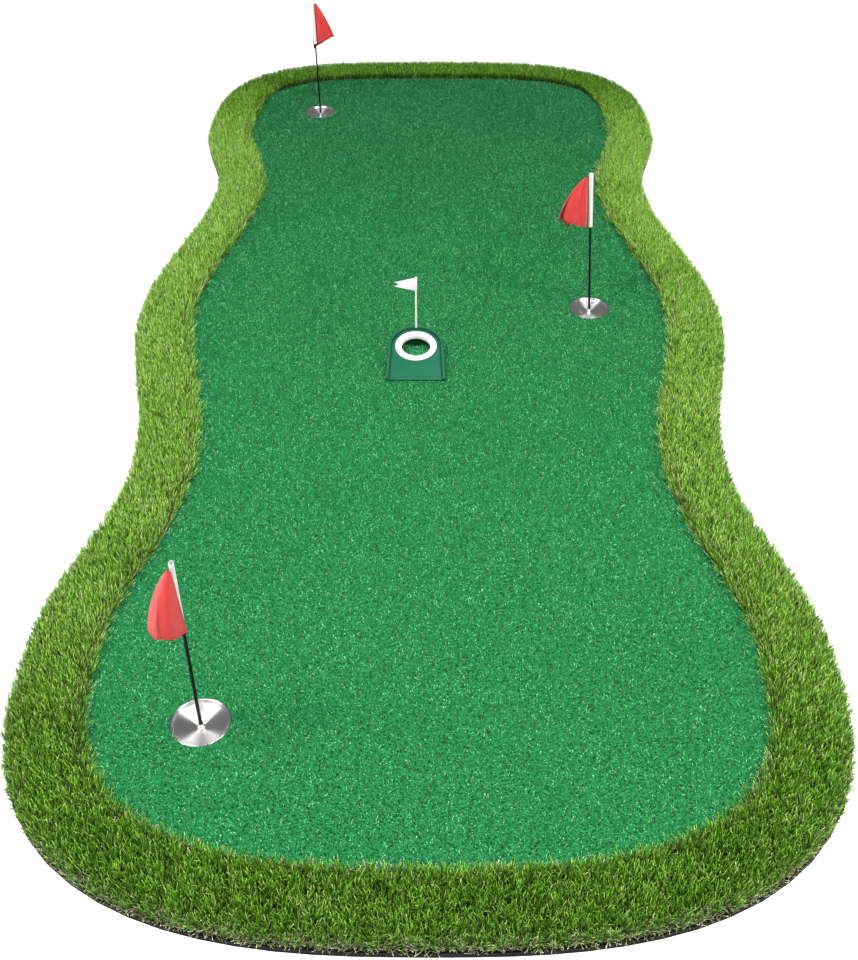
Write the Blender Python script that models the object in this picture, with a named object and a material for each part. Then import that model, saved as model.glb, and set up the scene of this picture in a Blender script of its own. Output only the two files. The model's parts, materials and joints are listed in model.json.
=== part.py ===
"""Practice putting mat: a three-lobed green inside a tall-turf fringe on a rubber base, with three
metal cups, three flagsticks with turning flags, and a loose ramp trainer with its own small flag.

Metres, +Z up. The origin is on the floor at the centre of the mat, and the near end is at -Y.
"""

import math

import bmesh
import bpy
from mathutils import Vector

# Overall size
MAT_LENGTH = 3.66
MAT_WIDTH = 1.55
FRINGE_WIDTH = 0.135

# Lobes and necks: (share of the half length, share of the half width)
SIDE_STATIONS = [(-0.667, 0.987), (-0.366, 0.865), (0.005, 1.0), (0.399, 0.865), (0.650, 0.981)]
NEAR_END_POWER = 2.7
FAR_END_POWER = 3.3
OUTLINE_POINTS = 160

# Layers
BASE_THICKNESS = 0.012
TAPE_THICKNESS = 0.0006
TAPE_HALF_WIDTH = 0.04
BACKING_THICKNESS = 0.0018
GREEN_PILE_HEIGHT = 0.009
FRINGE_PILE_HEIGHT = 0.031
FRINGE_SETBACK = 0.002
SEAM_GAP = 0.0006
GAP = 0.0003

# Cups: (name, share of the half width, share of the half length, lean of its flagstick in degrees,
# bearing of the edge where the flag is sewn on, in degrees from +X)
HOLES = [
    ("near", -0.525, -0.762, 0.0, 255.0),
    ("mid", 0.557, 0.016, 4.0, 180.0),
    ("far", -0.507, 0.752, 1.0, 0.0),
]
CUP_WALL_RADIUS = 0.0515
CUP_RIM_WIDTH = 0.003
CUP_SHEET = 0.001
CUP_KNUCKLE = 0.0045
CUP_FLAT = 0.003
CUP_DISH_SLOPE = 12.0
CUP_RIM_BELOW_PILE = 0.0028
CUP_CLEARANCE = 0.001
CUP_STEPS = 40

# Socket and lock nut in the middle of each cup
SOCKET_WALL = 0.0018
SOCKET_COLLAR_WIDTH = 0.0025
SOCKET_COLLAR = 0.0016
SOCKET_HEIGHT = 0.011
SOCKET_CHAMFER = 0.0006
TAIL_RADIUS = 0.004
NUT_HEIGHT = 0.0028
NUT_WALL = 0.00185
NUT_ABOVE_FLOOR = 0.003

# Flagsticks
POLE_RADIUS = 0.003
POLE_LENGTH = 0.395
POLE_PLAY = 0.0007
POLE_CHAMFER = 0.0004
SLEEVE_SIDE_PLAY = 0.0018
SLEEVE_FACE_PLAY = 0.0006
SLEEVE_WALL = 0.0008
SLEEVE_HEIGHT = 0.147
SLEEVE_ABOVE_POLE = 0.006
FLAG_FLY = 0.175
FLAG_DROP_FROM_TOP = 0.003
FLAG_THICKNESS = 0.0012
FLAG_TOP_CUT = 0.06
FLAG_STIFFNESS = 0.35
FLAG_MOST_LEAN = 0.95

# How each flag hangs: horizontal part of the direction in which its threads run down from the top
# corner, from the sleeve edge to the free edge. One list for each cup, x then y.
FLAG_FOLDS = {
    "near": [(0.08, -0.03), (-0.05, -0.25), (-0.28, -0.27), (-0.46, -0.08), (-0.44, 0.14), (-0.25, 0.30)],
    "mid": [(-0.01, 0.0), (-0.15, -0.15), (-0.33, -0.06), (-0.52, 0.02), (-0.45, 0.20), (-0.26, 0.30)],
    "far": [(0.01, 0.0), (0.20, -0.12), (0.43, 0.0), (0.35, 0.17), (0.10, 0.24), (-0.10, 0.20)],
}

# Ramp trainer, lying on the green
TRAINER_AT = (-0.0345, -0.205)
TRAINER_BACK_MARGIN = 0.0105
TRAINER_FLARE = 0.005
TRAINER_FRONT = 0.117
TRAINER_TILT = 11.0
TRAINER_LIP = 0.0015
TRAINER_RIM_WALL = 0.007
TRAINER_RIM_RISE = 0.004
TRAINER_SKIN = 0.003
TRAINER_DRAFT = 0.08
TRAINER_FLOOR_EDGE = 0.003
TRAINER_FLOOR_FRONT = 0.022
RING_BORE = 0.037
RING_FACE = 0.0155
RING_FLANGE = 0.0025
RING_EDGE = 0.0008
RING_SLEEVE = 0.014
RING_WALL = 0.0035
RING_CLEARANCE = 0.0004
STEM_RADIUS = 0.0029
STEM_TIP_RADIUS = 0.0018
STEM_LENGTH = 0.160
STEM_SEAT = 0.014
STEM_CLEARANCE = 0.0003
STEM_BOSS_WALL = 0.003
STEM_BOSS_BELOW_RIM = 0.001
PENNANT_LENGTH = 0.053
PENNANT_HEIGHT = 0.036
PENNANT_NOTCH = 0.011
PENNANT_TAIL = 0.006
PENNANT_THICKNESS = 0.0012
PENNANT_GRIP = 0.0008
PENNANT_BELOW_TIP = 0.003

# How far a cutter runs on past what it cuts
CUT = 0.02

# Radii and widths that follow from what passes through or sits inside
CUP_RIM_RADIUS = CUP_WALL_RADIUS + CUP_RIM_WIDTH
HOLE_RADIUS = CUP_WALL_RADIUS + CUP_CLEARANCE
SOCKET_RADIUS = POLE_RADIUS + POLE_PLAY + SOCKET_WALL
SOCKET_COLLAR_RADIUS = SOCKET_RADIUS + SOCKET_COLLAR_WIDTH
SLEEVE_HALF_WIDTH = POLE_RADIUS + SLEEVE_SIDE_PLAY + SLEEVE_WALL
SLEEVE_HALF_DEPTH = POLE_RADIUS + SLEEVE_FACE_PLAY + SLEEVE_WALL
FLAG_HOIST = SLEEVE_HEIGHT - FLAG_DROP_FROM_TOP
RING_RADIUS = RING_BORE + RING_FACE
TRAINER_ARCH_RADIUS = RING_RADIUS + TRAINER_BACK_MARGIN + TRAINER_RIM_WALL
TRAINER_SLOPE = math.tan(math.radians(TRAINER_TILT))
STEM_BOSS_RADIUS = STEM_RADIUS + STEM_CLEARANCE + STEM_BOSS_WALL

# Heights that follow from the layers
TAPE_Z = BASE_THICKNESS + GAP
BACKING_Z = TAPE_Z + TAPE_THICKNESS + GAP
PILE_Z = BACKING_Z + BACKING_THICKNESS + GAP
GREEN_Z = PILE_Z + GREEN_PILE_HEIGHT
FRINGE_Z = PILE_Z + FRINGE_PILE_HEIGHT
RIM_Z = GREEN_Z - CUP_RIM_BELOW_PILE
LEDGE_Z = RIM_Z - CUP_SHEET - GAP
NUT_Z = NUT_ABOVE_FLOOR + NUT_HEIGHT
CUP_FLOOR_Z = NUT_Z + GAP + CUP_SHEET
COLLAR_Z = CUP_FLOOR_Z + GAP
SOCKET_Z = COLLAR_Z + SOCKET_HEIGHT
TRAINER_Z = GREEN_Z + GAP


def clear_scene():
    for obj in list(bpy.data.objects):
        bpy.data.objects.remove(obj, do_unlink=True)


def material(name, colour, roughness, metallic=0.0):
    made = bpy.data.materials.new(name)
    made.use_nodes = True
    shader = made.node_tree.nodes["Principled BSDF"]
    shader.inputs["Base Color"].default_value = (*colour, 1.0)
    shader.inputs["Roughness"].default_value = roughness
    shader.inputs["Metallic"].default_value = metallic
    return made


# ---------------------------------------------------------------- mesh helpers


def new_object(name, bm, mat, smooth_angle=None, parent=None):
    """An object from a bmesh, with its faces turned outwards."""
    bmesh.ops.recalc_face_normals(bm, faces=bm.faces)
    mesh = bpy.data.meshes.new(name)
    bm.to_mesh(mesh)
    bm.free()
    obj = bpy.data.objects.new(name, mesh)
    bpy.context.scene.collection.objects.link(obj)
    if mat is not None:
        mesh.materials.append(mat)
    if smooth_angle is not None:
        mesh.shade_smooth()
        mesh.set_sharp_from_angle(angle=math.radians(smooth_angle))
    obj.parent = parent
    return obj


def as_cutter(obj):
    obj.hide_render = True
    obj.display_type = "WIRE"
    return obj


def boolean(obj, other, operation="DIFFERENCE"):
    modifier = obj.modifiers.new(operation.title() + " " + other.name, "BOOLEAN")
    modifier.operation = operation
    modifier.object = other


def axis_empty(name, place, parent=None, lean=0.0):
    """An empty on a joint's axis. A positive lean tips its top towards -X."""
    empty = bpy.data.objects.new(name, None)
    bpy.context.scene.collection.objects.link(empty)
    empty.location = place
    empty.rotation_euler = (0.0, -math.radians(lean), 0.0)
    empty.parent = parent
    return empty


def prism(name, outline, bottom, top, mat, smooth_angle=None, parent=None):
    """A closed prism. bottom and top are heights, or functions that give the point above (x, y)."""
    bm = bmesh.new()
    low = [bm.verts.new(level_point(x, y, bottom)) for x, y in outline]
    high = [bm.verts.new(level_point(x, y, top)) for x, y in outline]
    bm.faces.new(low)
    bm.faces.new(high)
    for i in range(len(low)):
        j = (i + 1) % len(low)
        bm.faces.new((low[i], low[j], high[j], high[i]))
    return new_object(name, bm, mat, smooth_angle, parent)


def level_point(x, y, level):
    return level(x, y) if callable(level) else (x, y, level)


def ring_prism(name, outer, inner, bottom, top, mat, smooth_angle=None):
    """A closed band between two outlines that have the same number of points."""
    bm = bmesh.new()
    loops = []
    for outline, height in ((outer, bottom), (outer, top), (inner, top), (inner, bottom)):
        loops.append([bm.verts.new((x, y, height)) for x, y in outline])
    count = len(outer)
    for loop, following in zip(loops, loops[1:] + loops[:1]):
        for i in range(count):
            j = (i + 1) % count
            bm.faces.new((loop[i], loop[j], following[j], following[i]))
    return new_object(name, bm, mat, smooth_angle)


def turned(name, profile, steps, mat, smooth_angle=30.0, parent=None):
    """A solid of revolution about the local Z axis. profile is a closed loop of (radius, height);
    where it touches the axis the poles are merged."""
    bm = bmesh.new()
    verts = [bm.verts.new((radius, 0.0, height)) for radius, height in profile]
    edges = [bm.edges.new(pair) for pair in zip(verts, verts[1:])]
    if min(radius for radius, _ in profile) > 0:
        edges.append(bm.edges.new((verts[-1], verts[0])))
    bmesh.ops.spin(
        bm, geom=verts + edges, cent=(0, 0, 0), axis=(0, 0, 1),
        angle=2 * math.pi, steps=steps, use_merge=True,
    )
    bmesh.ops.remove_doubles(bm, verts=bm.verts, dist=1e-6)
    return new_object(name, bm, mat, smooth_angle, parent)


def sheet_profile(surface, thickness):
    """A closed (radius, height) loop: the points of a surface, then those of its underside."""
    under = []
    for i, (radius, height) in enumerate(surface):
        before = surface[max(i - 1, 0)]
        after = surface[min(i + 1, len(surface) - 1)]
        along = Vector((after[0] - before[0], after[1] - before[1])).normalized()
        under.append((radius - along.y * thickness, height + along.x * thickness))
    return surface + under[::-1]


def blend_points(points, share):
    """A point on the smooth curve through the points, share 0 to 1."""
    place = share * (len(points) - 1)
    i = min(int(place), len(points) - 2)
    t = place - i
    p0, p1, p2, p3 = (Vector(points[min(max(k, 0), len(points) - 1)]) for k in range(i - 1, i + 3))
    bend = (2 * p0 - 5 * p1 + 4 * p2 - p3) * t * t + (3 * p1 - p0 - 3 * p2 + p3) * t ** 3
    return (2 * p1 + (p2 - p0) * t + bend) / 2


# ---------------------------------------------------------------- outline of the mat


def half_width_at(share):
    """Half width of the side at a share of the half length, by half cosine waves between stations."""
    for (start, wide), (end, narrow) in zip(SIDE_STATIONS, SIDE_STATIONS[1:]):
        if share <= end:
            t = (share - start) / (end - start)
            return (wide + (narrow - wide) * (1 - math.cos(math.pi * t)) / 2) * MAT_WIDTH / 2
    return SIDE_STATIONS[-1][1] * MAT_WIDTH / 2


def end_arc(station, direction, power, steps=48):
    """Points of a rounded end, from its +X corner to its -X corner."""
    share, wide = station
    base_y = share * MAT_LENGTH / 2
    depth = direction * MAT_LENGTH / 2 - base_y
    arc = []
    for i in range(1, steps):
        angle = math.pi * i / steps
        across = abs(math.cos(angle)) ** (2 / power)
        along = math.sin(angle) ** (2 / power)
        side = math.copysign(across, math.cos(angle))
        arc.append(Vector((side * wide * MAT_WIDTH / 2, base_y + depth * along)))
    return arc


def mat_outline():
    """The outline of the base, anticlockwise and evenly spaced."""
    first, last = SIDE_STATIONS[0][0], SIDE_STATIONS[-1][0]
    steps = 80
    shares = [first + (last - first) * i / steps for i in range(steps + 1)]
    right = [Vector((half_width_at(share), share * MAT_LENGTH / 2)) for share in shares]
    left = [Vector((-p.x, p.y)) for p in reversed(right)]
    far = end_arc(SIDE_STATIONS[-1], 1, FAR_END_POWER)
    near = end_arc(SIDE_STATIONS[0], -1, NEAR_END_POWER)
    return evenly_spaced(right + far + left + near[::-1], OUTLINE_POINTS)


def evenly_spaced(points, count):
    closed = points + points[:1]
    lengths = [(b - a).length for a, b in zip(closed, closed[1:])]
    step = sum(lengths) / count
    result, walked, i = [], 0.0, 0
    for k in range(count):
        while walked + lengths[i] < k * step:
            walked += lengths[i]
            i += 1
        result.append(closed[i].lerp(closed[i + 1], (k * step - walked) / lengths[i]))
    return result


def inset(outline, distance):
    """The outline moved inwards along its normals."""
    moved = []
    for i, point in enumerate(outline):
        along = (outline[(i + 1) % len(outline)] - outline[i - 1]).normalized()
        moved.append(point + Vector((-along.y, along.x)) * distance)
    return moved


# ---------------------------------------------------------------- mat layers


def hole_place(hole):
    return (hole[1] * MAT_WIDTH / 2, hole[2] * MAT_LENGTH / 2)


def hole_cutter(hole):
    """The stepped bore that a cup drops into: its wall below, its rim on the crushed pile above."""
    x, y = hole_place(hole)
    rim = CUP_RIM_RADIUS + CUP_CLEARANCE
    low, high = -CUT, GREEN_Z + CUT
    profile = [(0, high), (rim, high), (rim, LEDGE_Z), (HOLE_RADIUS, LEDGE_Z), (HOLE_RADIUS, low), (0, low)]
    cutter = as_cutter(turned("bore_for_cup_" + hole[0], profile, CUP_STEPS, None))
    cutter.location = (x, y, 0.0)
    return cutter


def build_mat(mats):
    outline = mat_outline()
    green_edge = inset(outline, FRINGE_WIDTH + SEAM_GAP)
    fringe_inner = inset(outline, FRINGE_WIDTH)
    fringe_outer = inset(outline, FRINGE_SETBACK)
    base = prism("rubber_base", outline, 0.0, BASE_THICKNESS, mats["rubber"], 40)
    ring_prism(
        "seam_tape", inset(outline, FRINGE_WIDTH - TAPE_HALF_WIDTH),
        inset(outline, FRINGE_WIDTH + TAPE_HALF_WIDTH), TAPE_Z, TAPE_Z + TAPE_THICKNESS, mats["tape"],
    )
    backing_top = BACKING_Z + BACKING_THICKNESS
    green_backing = prism("green_backing", green_edge, BACKING_Z, backing_top, mats["backing"], 40)
    green_pile = prism("green_pile", green_edge, PILE_Z, GREEN_Z, mats["green"], 40)
    ring_prism("fringe_backing", fringe_outer, fringe_inner, BACKING_Z, backing_top, mats["backing"], 40)
    ring_prism("fringe_pile", fringe_outer, fringe_inner, PILE_Z, FRINGE_Z, mats["fringe"], 40)
    for hole in HOLES:
        cutter = hole_cutter(hole)
        for layer in (base, green_backing, green_pile):
            boolean(layer, cutter)


# ---------------------------------------------------------------- cups and flagsticks


def build_cup(name, axis, mats):
    """A spun dish: rolled rim, short steep wall and a shallow cone down to the socket's hole."""
    cone_edge = CUP_WALL_RADIUS - CUP_KNUCKLE
    cone_end = SOCKET_COLLAR_RADIUS + CUP_FLAT
    cone_top = CUP_FLOOR_Z + math.tan(math.radians(CUP_DISH_SLOPE)) * (cone_edge - cone_end)
    wall = RIM_Z - cone_top
    surface = [
        (TAIL_RADIUS + GAP, CUP_FLOOR_Z),
        (cone_end, CUP_FLOOR_Z + CUP_SHEET / 5),
        (cone_edge, cone_top),
        (CUP_WALL_RADIUS - 0.55 * CUP_KNUCKLE, cone_top + 0.2 * wall),
        (CUP_WALL_RADIUS - 0.27 * CUP_KNUCKLE, RIM_Z - 0.4 * wall),
        (CUP_WALL_RADIUS + 0.07 * CUP_RIM_WIDTH, RIM_Z - 0.09 * wall),
        (CUP_WALL_RADIUS + 0.4 * CUP_RIM_WIDTH, RIM_Z),
        (CUP_RIM_RADIUS, RIM_Z - CUP_SHEET / 5),
    ]
    turned(name + "_cup", sheet_profile(surface, -CUP_SHEET), CUP_STEPS, mats["steel"], 40, axis)


def build_socket(name, axis, mats):
    """A turned socket: collar on the dish, blind bore for the pole and a threaded tail below."""
    bore = POLE_RADIUS + POLE_PLAY
    profile = [
        (0, COLLAR_Z + SOCKET_COLLAR),
        (bore, COLLAR_Z + SOCKET_COLLAR),
        (bore, SOCKET_Z),
        (SOCKET_RADIUS - SOCKET_CHAMFER, SOCKET_Z),
        (SOCKET_RADIUS, SOCKET_Z - SOCKET_CHAMFER),
        (SOCKET_RADIUS, COLLAR_Z + SOCKET_COLLAR),
        (SOCKET_COLLAR_RADIUS, COLLAR_Z + SOCKET_COLLAR),
        (SOCKET_COLLAR_RADIUS, COLLAR_Z),
        (TAIL_RADIUS, COLLAR_Z),
        (TAIL_RADIUS, NUT_ABOVE_FLOOR),
        (0, NUT_ABOVE_FLOOR),
    ]
    turned(name + "_socket", profile, 20, mats["nickel"], 30, axis)


def round_point(radius, angle):
    return (radius * math.cos(angle), radius * math.sin(angle))


def hexagon(to_flat, angle):
    """Distance from the middle of a hexagon to its edge, at an angle."""
    return to_flat / math.cos(angle % (math.pi / 3) - math.pi / 6)


def build_nut(name, axis, mats):
    """The hexagon nut on the socket's tail, under the cup."""
    steps = 24
    hole = TAIL_RADIUS + GAP
    angles = [2 * math.pi * i / steps for i in range(steps)]
    outer = [round_point(hexagon(TAIL_RADIUS + NUT_WALL, angle), angle) for angle in angles]
    inner = [round_point(hole, angle) for angle in angles]
    nut = ring_prism(name + "_locknut", outer, inner, NUT_ABOVE_FLOOR, NUT_Z, mats["nickel"], 30)
    nut.parent = axis


def build_pole(name, axis, mats):
    """A black rod with small chamfers, standing in the socket. Local Z = 0 is its foot."""
    profile = [
        (0, POLE_LENGTH),
        (POLE_RADIUS - POLE_CHAMFER, POLE_LENGTH),
        (POLE_RADIUS, POLE_LENGTH - POLE_CHAMFER),
        (POLE_RADIUS, POLE_CHAMFER),
        (POLE_RADIUS - POLE_CHAMFER, 0),
        (0, 0),
    ]
    turned(name + "_pole", profile, 16, mats["pole"], 40, axis)


def oval(half_width, half_depth, turn, steps=20):
    points = []
    for i in range(steps):
        angle = 2 * math.pi * i / steps
        along, across = half_width * math.cos(angle), half_depth * math.sin(angle)
        points.append((
            along * math.cos(turn) - across * math.sin(turn),
            along * math.sin(turn) + across * math.cos(turn),
        ))
    return points


def build_sleeve(name, axis, turn, mats):
    """The hem that the pole slides into: a flattened tube of webbing."""
    top = POLE_LENGTH + SLEEVE_ABOVE_POLE
    outer = oval(SLEEVE_HALF_WIDTH, SLEEVE_HALF_DEPTH, turn)
    inner = oval(SLEEVE_HALF_WIDTH - SLEEVE_WALL, SLEEVE_HALF_DEPTH - SLEEVE_WALL, turn)
    sleeve = ring_prism(name + "_sleeve", outer, inner, top - SLEEVE_HEIGHT, top, mats["webbing"], 40)
    sleeve.parent = axis


def flag_point(folds, reach, share):
    """A point of the hanging cloth, measured from its top corner on the sleeve."""
    lean = blend_points(folds, share)
    spread = 1 + FLAG_STIFFNESS * (1 - reach / FLAG_HOIST) * share
    flat = Vector((lean.x, lean.y)) * spread
    if flat.length > FLAG_MOST_LEAN:
        flat = flat.normalized() * FLAG_MOST_LEAN
    fall = math.sqrt(1 - flat.length_squared)
    return Vector((flat.x, flat.y, -fall)) * reach


def pennant_reach(share):
    """Distance from the top corner to the lower edge of the triangular cloth."""
    corner = math.atan2(FLAG_FLY, FLAG_HOIST / 2)
    slope = math.atan2(FLAG_HOIST / 2, FLAG_FLY)
    return FLAG_HOIST * math.cos(slope) / math.cos(corner * share - slope)


def build_flag(name, axis, turn, mats):
    """The red cloth: a triangle sewn to the sleeve along one side, hanging in soft folds."""
    folds = FLAG_FOLDS[name]
    stand_off = SLEEVE_HALF_WIDTH + GAP + FLAG_THICKNESS
    top = Vector((math.cos(turn), math.sin(turn), 0)) * stand_off
    top.z = POLE_LENGTH + SLEEVE_ABOVE_POLE - FLAG_DROP_FROM_TOP
    across, down = 20, 8
    steps = [FLAG_TOP_CUT + (1 - FLAG_TOP_CUT) * j / down for j in range(down + 1)]
    bm = bmesh.new()
    rows = []
    for i in range(across + 1):
        share = i / across
        reach = pennant_reach(share)
        rows.append([bm.verts.new(top + flag_point(folds, reach * step, share)) for step in steps])
    for first, second in zip(rows, rows[1:]):
        for j in range(down):
            bm.faces.new((first[j], second[j], second[j + 1], first[j + 1]))
    obj = new_object(name + "_flag", bm, mats["flag"], 60, axis)
    solid = obj.modifiers.new("Cloth thickness", "SOLIDIFY")
    solid.thickness = FLAG_THICKNESS
    solid.offset = 0.0


def build_holes(mats):
    for hole in HOLES:
        name, lean, bearing = hole[0], hole[3], hole[4]
        x, y = hole_place(hole)
        cup_axis = axis_empty(name + "_cup_axis", (x, y, 0.0))
        build_cup(name, cup_axis, mats)
        build_socket(name, cup_axis, mats)
        build_nut(name, cup_axis, mats)
        foot = COLLAR_Z + SOCKET_COLLAR + GAP + POLE_RADIUS * math.sin(math.radians(lean))
        slip = (SOCKET_HEIGHT - SOCKET_COLLAR) / 2 * math.tan(math.radians(lean))
        pole_axis = axis_empty(name + "_pole_axis", (x + slip, y, foot), lean=lean)
        turn = math.radians(bearing)
        build_pole(name, pole_axis, mats)
        build_sleeve(name, pole_axis, turn, mats)
        build_flag(name, pole_axis, turn, mats)


# ---------------------------------------------------------------- ramp trainer


def ramp_height(y):
    """Height of the ramp above the trainer's underside."""
    return TRAINER_LIP + (y + TRAINER_FRONT) * TRAINER_SLOPE


def trainer_outline(margin, front, steps=24):
    """Straight sides that close in a little, and a half-round back. margin moves it inwards."""
    radius = TRAINER_ARCH_RADIUS - margin
    half = radius + TRAINER_FLARE
    arc = [math.pi * i / steps for i in range(steps + 1)]
    back = [Vector((radius * math.cos(a), radius * math.sin(a))) for a in arc]
    return [Vector((-half, front)), Vector((half, front))] + back


def drafted_top(rise):
    """A function that lifts an outline point to the rim, drawn in by the mould's draft."""
    def top(x, y):
        inwards = Vector((-x, -y)).normalized() if y > 0 else Vector((-math.copysign(1, x), 0))
        height = (ramp_height(y) + rise) / (1 - inwards.y * TRAINER_DRAFT * TRAINER_SLOPE)
        moved = Vector((x, y)) + inwards * TRAINER_DRAFT * height
        return (moved.x, moved.y, height)

    return top


def column(name, radius, low, high, steps, axis):
    """A plain round bar, used to add a boss or to cut a bore."""
    profile = [(0, high), (radius, high), (radius, low), (0, low)]
    return turned(name, profile, steps, None, 30, axis)


def build_ramp(axis, mats):
    """The moulded shell. Returns the height at which the stem's foot stands."""
    body = prism(
        "trainer_ramp", trainer_outline(0, -TRAINER_FRONT), 0.0, drafted_top(TRAINER_RIM_RISE),
        mats["ramp"], 30, axis,
    )
    rim_top = ramp_height(TRAINER_ARCH_RADIUS) + TRAINER_RIM_RISE - STEM_BOSS_BELOW_RIM
    seat = rim_top - STEM_SEAT
    recess = prism(
        "ramp_recess", trainer_outline(TRAINER_RIM_WALL, -TRAINER_FRONT - CUT),
        lambda x, y: (x, y, ramp_height(y)), rim_top + 3 * CUT, None, None, axis,
    )
    underside = prism(
        "ramp_underside",
        trainer_outline(TRAINER_SKIN + TRAINER_FLOOR_EDGE, -TRAINER_FRONT + TRAINER_FLOOR_FRONT), -CUT,
        lambda x, y: (x, y, ramp_height(y) - TRAINER_SKIN), None, None, axis,
    )
    boss = column("stem_boss", STEM_BOSS_RADIUS, 0, rim_top, 24, axis)
    boss.location = (0, stem_place(), 0)
    ring_hole = column("ring_hole", RING_BORE + RING_WALL + RING_CLEARANCE, -1.5 * CUT, 1.5 * CUT, 48, axis)
    tilt_onto_ramp(ring_hole)
    stem_hole = column("stem_hole", STEM_RADIUS + STEM_CLEARANCE, seat, rim_top + CUT, 20, axis)
    stem_hole.location = (0, stem_place(), 0)
    for cutter, operation in (
        (recess, "DIFFERENCE"), (underside, "DIFFERENCE"), (boss, "UNION"),
        (ring_hole, "DIFFERENCE"), (stem_hole, "DIFFERENCE"),
    ):
        boolean(body, as_cutter(cutter), operation)
    return seat + GAP


def stem_place():
    """How far behind the arch's centre the stem stands."""
    return TRAINER_ARCH_RADIUS - STEM_BOSS_RADIUS


def tilt_onto_ramp(obj):
    """Puts an object's origin on the ramp at the arch's centre, with its Z axis square to the ramp."""
    obj.location = (0, 0, ramp_height(0))
    obj.rotation_euler = (math.radians(TRAINER_TILT), 0, 0)


def build_ring(axis, mats):
    """The flanged ring: a flat face on the ramp and a short sleeve down through its hole."""
    outer = RING_BORE + RING_WALL
    profile = [
        (RING_BORE, RING_FLANGE - RING_EDGE),
        (RING_BORE + RING_EDGE, RING_FLANGE + GAP),
        (RING_RADIUS - RING_EDGE, RING_FLANGE + GAP),
        (RING_RADIUS, RING_FLANGE - RING_EDGE),
        (RING_RADIUS, GAP),
        (outer, GAP),
        (outer, -RING_SLEEVE),
        (RING_BORE, -RING_SLEEVE),
    ]
    tilt_onto_ramp(turned("trainer_ring", profile, 48, mats["white"], 40, axis))


def build_stem(axis, mats):
    """The thin tapered stick. Local Z = 0 is its foot."""
    profile = [
        (0, STEM_LENGTH),
        (STEM_TIP_RADIUS - POLE_CHAMFER, STEM_LENGTH),
        (STEM_TIP_RADIUS, STEM_LENGTH - POLE_CHAMFER),
        (STEM_RADIUS, STEM_SEAT),
        (STEM_RADIUS, 0.0),
        (0, 0),
    ]
    turned("trainer_stem", profile, 16, mats["white"], 40, axis)


def build_pennant(axis, mats):
    """A thin swallow-tailed pennant on a short tube that grips the stem."""
    top = STEM_LENGTH - PENNANT_BELOW_TIP
    low = top - PENNANT_HEIGHT
    middle = (top + low) / 2
    taper = (STEM_RADIUS - STEM_TIP_RADIUS) / (STEM_LENGTH - STEM_SEAT)
    bore = STEM_TIP_RADIUS + taper * (STEM_LENGTH - low) + GAP
    outer = bore + PENNANT_GRIP
    tube = turned(
        "trainer_flag", [(bore, top), (outer, top), (outer, low), (bore, low)], 20, mats["pennant"], 40, axis
    )
    sewn = -(bore + PENNANT_GRIP / 2)
    edge = [
        (sewn, top), (sewn, low), (-PENNANT_LENGTH, middle - PENNANT_TAIL),
        (-PENNANT_LENGTH + PENNANT_NOTCH, middle), (-PENNANT_LENGTH, middle + PENNANT_TAIL),
    ]
    bm = bmesh.new()
    bm.faces.new([bm.verts.new((x, -PENNANT_THICKNESS / 2, z)) for x, z in edge])
    made = bmesh.ops.extrude_face_region(bm, geom=list(bm.faces))
    moved = [item for item in made["geom"] if isinstance(item, bmesh.types.BMVert)]
    bmesh.ops.translate(bm, vec=(0, PENNANT_THICKNESS, 0), verts=moved)
    boolean(tube, as_cutter(new_object("pennant_blade", bm, None, None, axis)), "UNION")


def build_trainer(mats):
    axis = axis_empty("trainer_axis", (*TRAINER_AT, TRAINER_Z))
    seat = build_ramp(axis, mats)
    build_ring(axis, mats)
    stem_axis = axis_empty("trainer_stem_axis", (0, stem_place(), seat), axis)
    build_stem(stem_axis, mats)
    build_pennant(stem_axis, mats)


def main():
    clear_scene()
    mats = {
        "rubber": material("rubber", (0.012, 0.012, 0.013), 0.8),
        "tape": material("tape", (0.03, 0.03, 0.03), 0.7),
        "backing": material("backing", (0.02, 0.04, 0.02), 0.9),
        "green": material("green turf", (0.015, 0.25, 0.07), 0.9),
        "fringe": material("fringe turf", (0.13, 0.28, 0.02), 0.85),
        "steel": material("stainless steel", (0.62, 0.61, 0.60), 0.25, 1.0),
        "nickel": material("nickel plate", (0.60, 0.58, 0.55), 0.3, 1.0),
        "pole": material("pole black", (0.01, 0.01, 0.01), 0.35),
        "webbing": material("white webbing", (0.8, 0.8, 0.78), 0.85),
        "flag": material("red cloth", (0.65, 0.02, 0.015), 0.7),
        "ramp": material("ramp green", (0.02, 0.13, 0.075), 0.35),
        "white": material("white plastic", (0.85, 0.84, 0.83), 0.35),
        "pennant": material("pennant white", (0.83, 0.80, 0.82), 0.45),
    }
    build_mat(mats)
    build_holes(mats)
    build_trainer(mats)


main()
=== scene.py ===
"""Looks of the practice putting mat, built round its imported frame.

Metres, +Z up, the near end at -Y. The turf is planted blade by blade over the frame's outlines, the
cups and sticks are turned pieces, and the flags are sewn sheets that hang in folds.
"""

import json
import math

import bmesh
import bpy
import numpy as np
from mathutils import Matrix, Vector


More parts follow.
